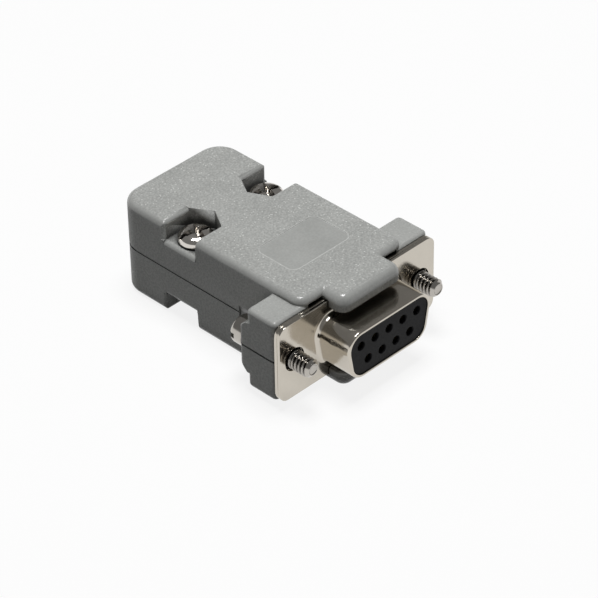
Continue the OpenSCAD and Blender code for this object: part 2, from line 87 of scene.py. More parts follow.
# Grey moulding
FLAT_BAND = (0.38, 0.495)  # from rounded edge to flat face, by the tilt's distance from a slant
FLECK_BAND = (0.6, 0.68)  # from bare to flecked cells, by the cell's own draw
FLECK_DOT = (0.14, 0.32)  # from a fleck's core to its edge, in cells
GLINT_GAIN = 1.75  # brightness of a fleck's painted glint, as a multiple of the moulding's
FLECK_POLISH = 0.2  # roughness that a fleck lacks
TONE_SPREAD = 0.16  # how far the dark and the pale grey lie from the moulding's colour
TONE_START = 0.35  # lowest mix of the pale grey
TONE_SHARE = 0.3  # mix that the slow patches add
PANEL_SHADE = 0.14  # mix that the label panel lacks
PLAIN_MOTTLE = 0.3  # share of the mottle on smooth faces
PLAIN_GRAIN = 0.1  # share of the grain on smooth faces
MOTTLE_DULL = 0.05  # roughness that the mottle adds or takes
PANEL_LINE_HIGHLIGHT = 0.5  # strength of the painted highlight on the line round the label panel, as a share of a fleck's
POCKET_BAND = (0.35, 0.85)  # from a deep pocket to an open face, for the painted shade

# Bright plating
PATCH = 1.6 * MM  # size of the duller patches
PATCH_TONES = (0.94, 1.05)  # brightness of the patches, as a multiple of the plating's
PATCH_BAND = (0.3, 0.75)
PATCH_DULL = (0.75, 1.35)  # roughness of the patches, as a multiple of the plating's
SPECK = 0.12 * MM  # size of the dull specks
SPECK_BAND = (0.55, 0.8)
SPECK_DULL = 0.06  # roughness that a speck adds
SCRATCH = 0.08 * MM  # width of the fine scratches
SCRATCH_STRETCH = (1.0, 1.0, 0.08)  # draws them out upwards
SCRATCH_STRENGTH = 0.6
CORNER = 0.8 * MM  # reach of the painted shade from a corner
CORNER_BAND = (0.5, 0.95)

# Black moulding
DUST_BAND = (0.45, 0.75)
DUST_GAIN = 1.7  # brightness of the dust, as a multiple of the moulding's
SKIN_DULL = (-0.06, 0.08)  # roughness that the skin takes and adds

# Rounded edges, in radii where nothing else is said
STRAIGHT = 2.6  # angle, in radians, from which a corner counts as straight
EDGE_ROOM = 0.9  # share of an edge that the rounding at its two ends may take
LONG_SLIDE = 2.4  # longest way that a corner may move along an edge
SHORT_SLIDE = 0.2  # way that makes no corner steep
SPIKE_REACH = 2.0  # distance from a spike within which edges stay sharp
TINY = 1e-6  # keeps a slope off zero

# Angles, in degrees
FLAT_JOIN = 0.4  # faces closer than this in direction are one face
CRISP_SHEET = 40.0  # edges sharper than this stay sharp beside flat faces
CRISP_SCREW = 32.0  # the same on the screws

# Threads
THREAD_STEPS = 14  # rings in one turn
RUN_OUT = 0.7  # turns over which a thread grows to its full depth
FLANK = 1.35  # steepness of the flanks, as a multiple of a plain V's
ROOT = 0.15  # share of the flanks cut off by the flat root

# Stage
CAMERA_RIGHT = (-0.70138, 0.71265, -0.013998)
CAMERA_UP = (-0.434918, -0.412316, 0.800526)
SENSOR_MM = 36.0
CLIP_START = 0.005  # nearest that the camera sees
FLOOR_REACH = 6.0  # half the floor's width
HORIZON = (0.03, 0.22)  # from the backdrop's bright foot to the dimmer sky, by height


def colour_prop(name, description, default):
    """Setting for a colour."""
    return FloatVectorProperty(
        name=name,
        description=description,
        default=default,
        subtype="COLOR",
        size=3,
        min=0.0,
        max=1.0,
    )


def length_prop(name, description, default):
    """Setting for a length in metres."""
    return FloatProperty(
        name=name, description=description, default=default, unit="LENGTH", precision=6, min=0.0
    )


def share_prop(name, description, default):
    """Setting from none to all."""
    return FloatProperty(
        name=name, description=description, default=default, subtype="FACTOR", min=0.0, max=1.0
    )


def place_prop(name, description, default):
    """Setting for a place in the part's frame."""
    return FloatVectorProperty(
        name=name, description=description, default=default, subtype="TRANSLATION", unit="LENGTH"
    )


class HoodSettings(bpy.types.PropertyGroup):
    """Finish of the two grey hood halves."""

    colour: colour_prop("Colour", "Colour of the grey moulding", (0.377, 0.383, 0.369))
    edge: length_prop("Edge radius", "Radius on the moulding's crisp edges", 0.12 * MM)
    grain: length_prop("Grain", "Size of the eroded grain on the broad faces", 0.2 * MM)
    grain_depth: length_prop("Grain depth", "Height of the eroded grain", 0.026 * MM)
    fleck: length_prop("Fleck spacing", "Distance between neighbouring bright flecks", 0.42 * MM)
    tone: length_prop("Tone patches", "Size of the slow changes of tone", 7 * MM)
    mottle: length_prop("Mottle", "Size of the fine changes of tone", 0.3 * MM)
    ear_smoothness: share_prop("Ear smoothness", "Share of the grain that the ears lack", 0.7)
    roughness: share_prop("Roughness", "Roughness of the broad faces", 0.44)
    edge_roughness: share_prop("Edge roughness", "Roughness of the smoother rounded edges", 0.17)
    sheen: share_prop("Sheen", "Mirror level of the broad faces", 0.26)
    edge_sheen: share_prop("Edge sheen", "Mirror level of the rounded edges", 0.5)
    panel_cut: length_prop("Panel cut", "Depth of the label panel in the CAD solid", 0.15 * MM)
    panel_depth: length_prop("Panel depth", "Depth of the label panel as moulded", 0.05 * MM)
    panel_corner: length_prop("Panel corner", "Corner radius of the label panel", 1.3 * MM)
    panel_line: length_prop("Panel line", "Width of the line round the label panel", 0.16 * MM)
    # The next two settings set the painted shade that darkens the colour in pockets and gaps.
    pocket: length_prop("Pocket reach", "Distance over which pockets and gaps darken", 3.5 * MM)
    pocket_shade: share_prop("Crease", "Darkening deep in pockets and gaps", 0.85)


class PlatingSettings(bpy.types.PropertyGroup):
    """Finish of the plated sheet metal and the screws."""

    sheet: colour_prop("Sheet colour", "Colour of the plated sheet", (0.56, 0.52, 0.455))
    jack: colour_prop("Jackscrew colour", "Colour of the jackscrews", (0.47, 0.445, 0.41))
    head: colour_prop("Hood screw colour", "Colour of the hood screws", (0.68, 0.645, 0.6))
    clamp: colour_prop("Clamp colour", "Colour of the zinc-plated clamp", (0.52, 0.52, 0.5))
    gilt: colour_prop("Contact colour", "Colour of the gilt contacts", (0.78, 0.58, 0.26))
    roughness: share_prop("Roughness", "Roughness of the shells and the jackscrews", 0.14)
    head_roughness: share_prop("Hood screw roughness", "Roughness of the hood screws", 0.11)
    clamp_roughness: share_prop("Clamp roughness", "Roughness of the clamp", 0.34)
    gilt_roughness: share_prop("Contact roughness", "Roughness of the contacts", 0.22)
    rim: length_prop("Rim radius", "Radius rolled on the shroud's front rim", 0.34 * MM)
    sheet_edge: length_prop("Sheet edge radius", "Radius on the sheet's cut edges", 0.07 * MM)
    hole_gap: length_prop("Hole gap", "Widening of the holes round the jackscrews", 0.22 * MM)


class MouldingSettings(bpy.types.PropertyGroup):
    """Finish of the black insulators."""

    colour: colour_prop("Colour", "Colour of the black moulding", (0.011, 0.011, 0.012))
    edge: length_prop("Edge radius", "Radius on the insulators' edges", 0.06 * MM)
    skin: length_prop("Skin", "Size of the fine matte grain", 0.14 * MM)
    skin_depth: length_prop("Skin depth", "Height of the fine matte grain", 0.004 * MM)
    dust: length_prop("Dust", "Size of the dusty patches", 0.9 * MM)
    roughness: share_prop("Roughness", "Roughness of the black moulding", 0.42)
    sheen: share_prop("Sheen", "Mirror level of the black moulding", 0.1)


class ScrewSettings(bpy.types.PropertyGroup):
    """Form of the screw threads and heads."""

    crest: length_prop("Thread radius", "Radius at the crest of the threads", 1.42 * MM)
    pitch: length_prop("Thread pitch", "Distance between neighbouring turns", 0.635 * MM)
    depth: length_prop("Thread depth", "Depth of the thread below its crest", 0.36 * MM)
    thread: length_prop("Thread length", "Length of the jackscrews' thread", 3.5 * MM)
    jack_head: length_prop("Jackscrew head", "Height of the jackscrews' heads", 2.5 * MM)
    jack_rim: length_prop("Jackscrew rim", "Radius on the jackscrew heads' rims", 0.8 * MM)
    jack_shank: length_prop("Jackscrew shank", "Radius of the shank behind the thread", 1.15 * MM)
    jack_tip: length_prop("Jackscrew tip", "Length of the cone at a jackscrew's end", 0.5 * MM)
    jack_cup: length_prop("Jackscrew cup", "Depth of the cup in a jackscrew's end", 0.22 * MM)
    hood_head: length_prop("Hood screw head", "Height of the hood screws' heads", 1.8 * MM)
    slot: length_prop("Slot width", "Width of the slots in the screw heads", 0.8 * MM)
    slot_edge: length_prop("Slot edge radius", "Radius on the hood screws' recesses", 0.06 * MM)
    slot_share: share_prop("Slot depth", "Depth of the slots in heights of the head", 0.45)
    slot_turn: FloatProperty(
        name="Slot turn",
        description="Angle of the hood screws' slots from the hood's cross direction",
        default=math.radians(-16),
        subtype="ANGLE",
    )
    around: IntProperty(
        name="Points around", description="Points in one turn of a thread", default=72, min=24
    )


class StageSettings(bpy.types.PropertyGroup):
    """Camera, floor and light."""

    camera: place_prop("Camera", "Place of the camera", (0.23287, 0.22246, 0.24449))
    lens: FloatProperty(
        name="Lens", description="Focal length for a 36 mm sensor", default=176.19, unit="CAMERA"
    )
    floor: colour_prop("Floor colour", "Colour of the floor where it is seen", (0.92, 0.92, 0.92))
    bounce: share_prop("Floor bounce", "Share of light that the floor sends back", 0.19)
    shadow: share_prop("Shadow", "Strength of the object's shadow on the white floor", 0.15)
    lamp: place_prop("Softbox", "Place of the overhead softbox", (-0.02, -0.03, 0.6))
    lamp_width: length_prop("Softbox width", "Size of the softbox across the hood", 0.27)
    lamp_length: length_prop("Softbox length", "Size of the softbox along the hood", 0.22)
    key: FloatProperty(
        name="Overhead light",
        description="Power of the overhead softbox",
        default=3.5,
        unit="POWER",
    )
    fill: share_prop("Fill", "Level of the even light from all round", 0.04)
    sky: share_prop("Sky", "Level that metal sees high above the bright horizon", 0.2)


def feed(tree, node, inputs):
    """Puts sockets or plain values on a node's inputs."""
    for key, value in inputs.items():
        if isinstance(value, bpy.types.NodeSocket):
            tree.links.new(value, node.inputs[key])
        else:
            node.inputs[key].default_value = value


def add(tree, kind, inputs=None, **settings):
    """Adds a node with its settings and its inputs."""
    node = tree.nodes.new(kind)
    for key, value in settings.items():
        setattr(node, key, value)
    feed(tree, node, inputs or {})
    return node


def math_node(tree, operation, *values, clamp=False):
    """A sum on one to three sockets or plain values."""
    inputs = dict(enumerate(values))
    return add(tree, "ShaderNodeMath", inputs, operation=operation, use_clamp=clamp).outputs[0]


def times_plus(tree, value, factor, base, clamp=False):
    """A value times a factor, on top of a base."""
    return math_node(tree, "MULTIPLY_ADD", value, factor, base, clamp=clamp)


def remap(tree, value, low, high, to_low=0.0, to_high=1.0):
    """Carries one range smoothly over to another."""
    ends = {"From Min": low, "From Max": high, "To Min": to_low, "To Max": to_high}
    made = add(
        tree, "ShaderNodeMapRange", {"Value": value, **ends}, interpolation_type="SMOOTHSTEP"
    )
    return made.outputs["Result"]


def blend(tree, factor, a, b):
    """Mixes two colours, each a socket or a plain colour."""
    a, b = (c if isinstance(c, bpy.types.NodeSocket) else (*c, 1.0) for c in (a, b))
    return add(tree, "ShaderNodeMix", {0: factor, 6: a, 7: b}, data_type="RGBA").outputs[2]


def scaled(colour, k):
    """A colour made brighter or darker."""
    return tuple(min(1.0, c * k) for c in colour)


def upward(tree, vector):
    """The upward part of a place or a direction."""
    return add(tree, "ShaderNodeSeparateXYZ", {0: vector}).outputs["Z"]


def noise(tree, place, size, detail=2.0, roughness=0.5):
    """Soft random pattern with features of about the size given."""
    inputs = {"Vector": place, "Scale": 1.0 / size, "Detail": detail, "Roughness": roughness}
    return add(tree, "ShaderNodeTexNoise", inputs).outputs["Fac"]


def bumped(tree, shader, height, depth, strength=1.0, after=None):
    """Raises a shader's surface by a pattern, on top of an earlier relief if there is one."""
    inputs = {"Height": height, "Distance": depth, "Strength": strength}
    if after is not None:
        inputs["Normal"] = after
    relief = add(tree, "ShaderNodeBump", inputs).outputs["Normal"]
    feed(tree, shader, {"Normal": relief})
    return relief


def open_sky(tree, reach):
    """One where a surface lies open, and less in pockets and gaps."""
    return add(tree, "ShaderNodeAmbientOcclusion", {"Distance": reach}, samples=8).outputs["AO"]


def new_finish(name):
    """A material with its shader and object coordinates."""
    finish = bpy.data.materials.new(name)
    finish.use_nodes = True
    tree = finish.node_tree
    shader = tree.nodes["Principled BSDF"]
    place = add(tree, "ShaderNodeTexCoord").outputs["Object"]
    return finish, tree, shader, place


def panel_box(settings):
    """Corners of the label panel in the upper half."""
    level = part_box("hood_upper")[1].z - settings.panel_cut
    points = [v.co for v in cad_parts["hood_upper"].data.vertices]
    spots = [p for p in points if abs(p.z - level) < NEAR]
    return [Vector([pick(p[i] for p in spots) for i in range(2)]) for pick in (min, max)]


def ear_level(beside=0.9):
    """Height of the upper half's ears, which lie beside the given share of its half width."""
    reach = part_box("hood_upper")[1].x
    points = [v.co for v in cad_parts["hood_upper"].data.vertices]
    return max(p.z for p in points if p.x > beside * reach)


def at_level(tree, height, level, near):
    """One at a level above or below the parting plane."""
    return math_node(tree, "COMPARE", math_node(tree, "ABSOLUTE", height), level, near)


def border_line(tree, place, settings):
    """One on the thin line round the label panel, which is raised a little in the relief and
    painted lighter as a painted highlight of the panel's edge.
    """
    low, high = panel_box(settings)
    middle = (low + high) / 2
    reach = (high - low) / 2
    corner = settings.panel_corner
    steps = (
        ("SUBTRACT", (*middle, 0.0)),
        ("MULTIPLY", (1.0, 1.0, 0.0)),
        ("ABSOLUTE", (0.0, 0.0, 0.0)),
        ("SUBTRACT", (reach.x - corner, reach.y - corner, 0.0)),
        ("MAXIMUM", (0.0, 0.0, 0.0)),
    )
    for operation, value in steps:
        inputs = {0: place, 1: value}
        place = add(tree, "ShaderNodeVectorMath", inputs, operation=operation).outputs[0]
    length = add(tree, "ShaderNodeVectorMath", {0: place}, operation="LENGTH").outputs["Value"]
    away = math_node(tree, "ABSOLUTE", math_node(tree, "SUBTRACT", length, corner))
    return remap(tree, away, settings.panel_line / 4, settings.panel_line, 1.0, 0.0)


def flat_faces(tree):
    """One on level and upright faces, and none on the rounded edges between them."""
    normal = add(tree, "ShaderNodeNewGeometry").outputs["True Normal"]
    tilt = math_node(tree, "ABSOLUTE", upward(tree, normal))
    off_slant = math_node(tree, "ABSOLUTE", math_node(tree, "SUBTRACT", tilt, 0.5))
    return remap(tree, off_slant, *FLAT_BAND)


def bright_flecks(tree, place, spacing):
    """One at the scattered flecks of the grain, which get a painted glint, and none between them.
    """
    cells = add(tree, "ShaderNodeTexVoronoi", {"Vector": place, "Scale": 1.0 / spacing})
    draw = add(tree, "ShaderNodeSeparateColor", {0: cells.outputs["Color"]}).outputs[0]
    dot = remap(tree, cells.outputs["Distance"], *FLECK_DOT, 1.0, 0.0)
    return math_node(tree, "MULTIPLY", remap(tree, draw, *FLECK_BAND), dot)


def grey_moulding(name, settings):
    """Eroded grain with bright flecks on flat faces, smooth rounded edges and label panels, and
    painted shade in pockets and gaps; the flecks and the line round the panel are painted
    highlights.
    """
    finish, tree, shader, place = new_finish(name)
    flat = flat_faces(tree)
    height = upward(tree, place)
    panel_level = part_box("hood_upper")[1].z - settings.panel_depth
    on_panel = at_level(tree, height, panel_level, settings.panel_depth / 3)
    on_ear = at_level(tree, height, ear_level(), settings.panel_depth)
    smooth = times_plus(tree, on_ear, settings.ear_smoothness, on_panel)
    grained = math_node(tree, "SUBTRACT", flat, smooth, clamp=True)
    line = border_line(tree, place, settings)
    # Flecks of the eroded grain: a little less rough, and painted brighter as painted glints.
    fleck = math_node(tree, "MULTIPLY", bright_flecks(tree, place, settings.fleck), grained)

    tone = remap(tree, noise(tree, place, settings.tone, detail=3.0), *NOISE_BAND)
    mottle = noise(tree, place, settings.mottle)
    spread = times_plus(tree, grained, 1 - PLAIN_MOTTLE, PLAIN_MOTTLE)
    patchy = math_node(tree, "MULTIPLY", remap(tree, mottle, *NOISE_BAND, -0.5, 0.5), spread)
    level = times_plus(tree, on_panel, -PANEL_SHADE, TONE_START)
    mixed = math_node(tree, "ADD", times_plus(tree, tone, TONE_SHARE, level), patchy)
    dark, pale = (scaled(settings.colour, 1 + k) for k in (-TONE_SPREAD, TONE_SPREAD))
    # Painted highlights: the flecks' glints and the lighter line round the label panel.
    highlights = math_node(tree, "MAXIMUM", fleck, math_node(tree, "MULTIPLY", line, PANEL_LINE_HIGHLIGHT))
    bright = scaled(settings.colour, GLINT_GAIN)
    highlighted = blend(tree, highlights, blend(tree, mixed, dark, pale), bright)
    # Painted shade: the colour darkens towards black deep in pockets and gaps, where the ambient
    # occlusion finds them.
    shade = remap(tree, open_sky(tree, settings.pocket), *POCKET_BAND, settings.pocket_shade, 0.0)

    rough = remap(tree, flat, 0.0, 1.0, settings.edge_roughness, settings.roughness)
    uneven = remap(tree, mottle, *NOISE_BAND, -MOTTLE_DULL, MOTTLE_DULL)
    varied = math_node(tree, "ADD", rough, uneven)
    inputs = {
        "Base Color": blend(tree, shade, highlighted, BLACK),
        "Specular IOR Level": remap(tree, flat, 0.0, 1.0, settings.edge_sheen, settings.sheen),
        "Roughness": times_plus(tree, fleck, -FLECK_POLISH, varied, clamp=True),
    }
    feed(tree, shader, inputs)

    grain = noise(tree, place, settings.grain, roughness=0.6)
    eroded = times_plus(tree, grained, 1 - PLAIN_GRAIN, PLAIN_GRAIN)
    bumped(tree, shader, times_plus(tree, grain, eroded, line), settings.grain_depth)
    return finish


def plated_metal(name, colour, roughness, wave_depth, scratch_depth, grime=0.0, wave=2.4 * MM):
    """Plating over slow waves, with fine scratches, duller patches and painted shade in its
    corners.
    """
    finish, tree, shader, place = new_finish(name)
    patches = noise(tree, place, PATCH, detail=3.0)
    body = blend(tree, patches, *(scaled(colour, k) for k in PATCH_TONES))
    # Painted shade: the colour darkens where the ambient occlusion finds corners, slots and thread
    # roots.
    if grime > 0:
        unshaded = remap(tree, open_sky(tree, CORNER), *CORNER_BAND)
        body = blend(tree, unshaded, scaled(colour, 1 - grime), body)
    dull = remap(tree, patches, *PATCH_BAND, *(roughness * k for k in PATCH_DULL))
    specks = remap(tree, noise(tree, place, SPECK), *SPECK_BAND, 0.0, SPECK_DULL)
    rough = math_node(tree, "ADD", dull, specks)
    feed(tree, shader, {"Metallic": 1.0, "Base Color": body, "Roughness": rough})
    waves = bumped(tree, shader, noise(tree, place, wave, detail=1.0), wave_depth)
    stretch = {"Vector": place, "Scale": SCRATCH_STRETCH}
    stretched = add(tree, "ShaderNodeMapping", stretch).outputs[0]
    scratches = noise(tree, stretched, SCRATCH)
    bumped(tree, shader, scratches, scratch_depth, SCRATCH_STRENGTH, waves)
    return finish


def black_moulding(name, settings):
    """Black insulator plastic with a fine matte skin and a little dust."""
    finish, tree, shader, place = new_finish(name)
    skin = noise(tree, place, settings.skin)
    dust = remap(tree, noise(tree, place, settings.dust, detail=3.0), *DUST_BAND)
    dulled = (settings.roughness + k for k in SKIN_DULL)
    inputs = {
        "Base Color": blend(tree, dust, settings.colour, scaled(settings.colour, DUST_GAIN)),
        "Roughness": remap(tree, skin, *NOISE_BAND, *dulled),
        "Specular IOR Level": settings.sheen,
    }
    feed(tree, shader, inputs)
    bumped(tree, shader, skin, settings.skin_depth)
    return finish


def finish_named(name, make, **values):
    """Makes a finish once, and gives the same one afterwards."""
    return bpy.data.materials.get(name) or make(name, **values)


def dress(piece, finish):
    """Gives a piece one finish all over."""
    piece.data.materials.clear()
    piece.data.materials.append(finish)


def seat(piece, body, slot, *nodes):
    """Puts a finished piece in place of its CAD nodes."""
    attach(piece, body)
    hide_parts(*nodes)


def settle(piece, finish, slot, node):
    """Finishes a flat-faced piece that is fixed in the hood."""
    keep_flat(piece)
    dress(piece, finish)
    seat(piece, HOOD, slot, node)


def cad_mesh(node, weld=NEAR):
    """A tidied copy of a CAD node's surface, with flat faces joined up and near points welded."""
    grown = bmesh.new()
    grown.from_mesh(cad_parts[node].data)
    bmesh.ops.remove_doubles(grown, verts=grown.verts[:], dist=weld)
    bmesh.ops.dissolve_limit(
        grown,
        angle_limit=math.radians(FLAT_JOIN),
        use_dissolve_boundaries=False,
        verts=grown.verts[:],
        edges=grown.edges[:],
    )
    bmesh.ops.recalc_face_normals(grown, faces=grown.faces[:])
    return grown


def crisp_edges(grown, angle):
    """Numbers of the edges whose two faces turn by more than an angle in degrees."""
    limit = math.radians(angle)
    pairs = (e for e in grown.edges if len(e.link_faces) == 2)
    return {e.index for e in pairs if e.calc_face_angle(0.0) > limit}


def bevel(grown, edges, width, segments):
    """Rounds edges to a radius."""
    bmesh.ops.bevel(
        grown,
        geom=edges,
        offset=width,
        offset_type="OFFSET",
        segments=segments,
        profile=0.5,
        affect="EDGES",
        clamp_overlap=False,
        loop_slide=False,
    )


def corner_slide(corner, along, rounded, width):
    """Way that a face's corner moves along one of its edges when the other edge is rounded."""
    other = corner.link_loop_prev.edge if along == corner.edge else corner.edge
    angle = corner.calc_angle()
    if other.index not in rounded:
        return 0.0
    if along.index in rounded:
        return width / max(TINY, math.tan(angle / 2))
    return 0.0 if angle > STRAIGHT else width / max(TINY, math.sin(angle))


def steep_corners(grown, rounded, width):
    """Corners where the rounded edges would run past each other."""
    steep = set()
    for face in grown.faces:
        for corner in face.loops:
            edge = corner.edge
            ends = (corner, corner.link_loop_next)
            slides = [(corner_slide(c, edge, rounded, width), c.vert.index) for c in ends]
            crowded = sum(slide for slide, _ in slides) > EDGE_ROOM * edge.calc_length()
            if crowded or max(slides)[0] > LONG_SLIDE * width:
                steep |= {index for slide, index in slides if slide > SHORT_SLIDE * width}
    return steep


def overshoots(grown, rounded, width, segments):
    """Corners where a trial of the rounding stands out of the piece's own box."""
    low, high = ([pick(v.co[i] for v in grown.verts) for i in range(3)] for pick in (min, max))

    def outside(point):
        return any(c < a - NEAR or c > b + NEAR for c, a, b in zip(point, low, high))

    trial = grown.copy()
    trial.edges.ensure_lookup_table()
    bevel(trial, [trial.edges[i] for i in rounded], width, segments)
    spikes = [v.co.copy() for v in trial.verts if outside(v.co)]
    trial.free()
    reach = SPIKE_REACH * width
    return {v.index for v in grown.verts if any((v.co - s).length < reach for s in spikes)}


def round_edges(grown, width, angle=35.0, segments=2, tries=12):
    """Rounds the crisp edges, and leaves those sharp that meet too steeply for the radius."""
    for part in (grown.verts, grown.edges):
        part.index_update()
        part.ensure_lookup_table()
    rounded = crisp_edges(grown, angle)
    for _ in range(tries):
        steep = steep_corners(grown, rounded, width)
        steep = steep or overshoots(grown, rounded, width, segments)
        if not steep:
            break
        rounded = {i for i in rounded if not steep & {v.index for v in grown.edges[i].verts}}
    bevel(grown, [grown.edges[i] for i in rounded], width, segments)


def to_piece(grown, name):
    """Turns a worked mesh into a smooth piece in the scene."""
    mesh = bpy.data.meshes.new(name)
    grown.to_mesh(mesh)
    grown.free()
    mesh.shade_smooth()
    piece = bpy.data.objects.new(name, mesh)
    bpy.context.scene.collection.objects.link(piece)
    return piece


def drop(piece):
    """Takes a helper piece out of the scene again."""
    mesh = piece.data
    bpy.data.objects.remove(piece)
    bpy.data.meshes.remove(mesh)


def sharpen(piece, angle):
    """Keeps edges sharp in the shading that turn by more than an angle in degrees."""
    piece.data.set_sharp_from_angle(angle=math.radians(angle))


def keep_flat(piece):
    """Flat faces stay flat in the shading beside their rounded edges, and sharp edges sharp."""
    sharpen(piece, CRISP_SHEET)
    flat = piece.modifiers.new("flat_faces", "WEIGHTED_NORMAL")
    flat.keep_sharp = True
    flat.weight = 60


def lathe(grown, rings, around):
    """Closed surface from rings: each is (height, radius) or (height, radius at an angle)."""
    loops = []
    for height, radius in rings:
        loop = []
        for k in range(around):
            angle = 2 * math.pi * k / around
            r = radius(angle) if callable(radius) else radius
            loop.append(grown.verts.new((r * math.cos(angle), r * math.sin(angle), height)))
        loops.append(loop)
    for low, high in zip(loops, loops[1:]):
        for k in range(around):
            j = (k + 1) % around
            grown.faces.new((low[k], low[j], high[j], high[k]))
    grown.faces.new(loops[0][::-1])
    grown.faces.new(loops[-1])


def thread_rings(start, end, settings, tip=0.0):
    """Rings of a helical thread, with a run-out at its start and a cone at its end."""
    crest = settings.crest
    steps = math.ceil((end - start) / settings.pitch * THREAD_STEPS)
    rings = []
    for i in range(steps + 1):
        height = start + (end - start) * i / steps
        reach = min(1.0, (height - start) / (RUN_OUT * settings.pitch))
        limit = crest - max(0.0, height - (end - tip))

        def radius(angle, height=height, reach=reach, limit=limit):
            turn = (height / settings.pitch - angle / (2 * math.pi)) % 1.0
            flank = min(1.0, max(0.0, abs(turn - 0.5) * 2.0 * FLANK - ROOT))
            return min(crest - settings.depth * (1.0 - flank) * reach, limit)

        rings.append((height, radius))
    return rings


def rim_rings(base, top, radius, rim, steps=8):
    """Rings of a head with a rounded rim, from its underside up to its flat end."""
    rings = [(base, radius)]
    for i in range(steps + 1):
        angle = math.pi / 2 * i / steps
        rings.append((top - rim + rim * math.sin(angle), radius - rim + rim * math.cos(angle)))
    return rings


def cutter(name, size, place, narrow=(1.0, 1.0)):
    """Block that cuts a recess, narrower at its foot by the shares given."""
    grown = bmesh.new()
    bmesh.ops.create_cube(grown, size=1.0)
    for vert in grown.verts:
        for axis in range(2):
            vert.co[axis] *= narrow[axis] if vert.co.z < 0 else 2 - narrow[axis]
    matrix = Matrix.Translation(place) @ Matrix.Diagonal((*size, 1.0))
    bmesh.ops.transform(grown, matrix=matrix, verts=grown.verts[:])
    return to_piece(grown, name)


def carve(piece, tools):
    """Cuts tools out of a piece and keeps the result as its mesh."""
    for tool in tools:
        cut = piece.modifiers.new("cut", "BOOLEAN")
        cut.operation = "DIFFERENCE"
        cut.solver = "EXACT"
        cut.object = tool
    graph = bpy.context.evaluated_depsgraph_get()
    mesh = bpy.data.meshes.new_from_object(piece.evaluated_get(graph))
    piece.modifiers.clear()
    old = piece.data
    piece.data = mesh
    bpy.data.meshes.remove(old)
    for tool in tools:
        drop(tool)
    mesh.shade_smooth()


class CONNECTOR_OT_hood(bpy.types.Operator):
    """Dress the two hood halves"""

    bl_idname = "connector.hood"
    bl_label = "Hood halves"

    def execute(self, context):
        settings = context.scene.connector_hood
        finish = finish_named("grey_moulding", grey_moulding, settings=settings)
        for node in HOOD_HALVES:
            grown = cad_mesh(node)
            self.raise_panel(grown, settings)
            round_edges(grown, settings.edge)
            settle(to_piece(grown, node + "_moulding"), finish, "hood_plastic", node)
        return {"FINISHED"}

    def raise_panel(self, grown, settings):
        """Lifts the label panel to the shallow step that it has as moulded."""
        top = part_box("hood_upper")[1].z
        for vert in grown.verts:
            if abs(abs(vert.co.z) - top + settings.panel_cut) < NEAR:
                vert.co.z = math.copysign(top - settings.panel_depth, vert.co.z)


class CONNECTOR_OT_shells(bpy.types.Operator):
    """Dress the plated shells and roll the shroud's rim"""

    bl_idname = "connector.shells"
    bl_label = "Plated shells"

    def execute(self, context):
        plating = context.scene.connector_plating
        finish = finish_named(
            "nickel_sheet",
            plated_metal,
            colour=plating.sheet,
            roughness=plating.roughness,
            wave_depth=0.012 * MM,
            scratch_depth=0.0008 * MM,
        )
        for node in SHELLS:
            grown = cad_mesh(node, weld=0.03 * MM)
            self.widen_holes(grown, plating)
            if node == "front_shell":
                bevel(grown, self.rim_edges(grown, outside=True), plating.rim, segments=6)
                bevel(grown, self.rim_edges(grown, outside=False), plating.rim / 3, segments=3)
            round_edges(grown, plating.sheet_edge)
            piece = to_piece(grown, node + "_plated")
            self.flatten_flange(piece)
            settle(piece, finish, "plated_sheet", node)
        return {"FINISHED"}

    def widen_holes(self, grown, plating):
        """Opens the flange holes a little, so that a dark gap shows round the jackscrews."""
        for node in JACKSCREWS:
            low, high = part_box(node)
            centre = (low.x + high.x) / 2
            reach = (high.z - low.z) / 2
            for vert in grown.verts:
                away = Vector((vert.co.x - centre, 0, vert.co.z))
                if away.length < reach:
                    vert.co += away.normalized() * plating.hole_gap

    def rim_edges(self, grown, outside):
        """Edges of the shroud's end face, on its outside or its inside."""
        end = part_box("front_shell")[1].y
        found = []
        for edge in grown.edges:
            walls = [f.normal for f in edge.link_faces if abs(f.normal.y) < 0.5]
            if len(walls) == 1 and all(abs(v.co.y - end) < NEAR for v in edge.verts):
                middle = (edge.verts[0].co + edge.verts[1].co) / 2
                if (walls[0].x * middle.x + walls[0].z * middle.z > 0) == outside:
                    found.append(edge)
        return found

    def flatten_flange(self, piece, square=0.9999):
        """Faces square to the mating direction are shaded flat."""
        for face in piece.data.polygons:
            face.use_smooth = abs(face.normal.y) < square


class CONNECTOR_OT_insulators(bpy.types.Operator):
    """Dress the black insulators"""

    bl_idname = "connector.insulators"
    bl_label = "Insulators"

    def execute(self, context):
        settings = context.scene.connector_moulding
        finish = finish_named("black_moulding", black_moulding, settings=settings)
        for node in INSULATORS:
            grown = cad_mesh(node)
            round_edges(grown, settings.edge, angle=50.0)
            settle(to_piece(grown, node + "_moulding"), finish, "black_plastic", node)
        return {"FINISHED"}


class CONNECTOR_OT_contacts(bpy.types.Operator):
    """Dress the gilt contacts"""

    bl_idname = "connector.contacts"
    bl_label = "Contacts"

    def execute(self, context):
        plating = context.scene.connector_plating
        finish = finish_named(
            "gilt_contacts",
            plated_metal,
            colour=plating.gilt,
            roughness=plating.gilt_roughness,
            wave_depth=0.002 * MM,
            scratch_depth=0.0008 * MM,
        )
        for node in CONTACTS:
            dress(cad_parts[node], finish)
        return {"FINISHED"}


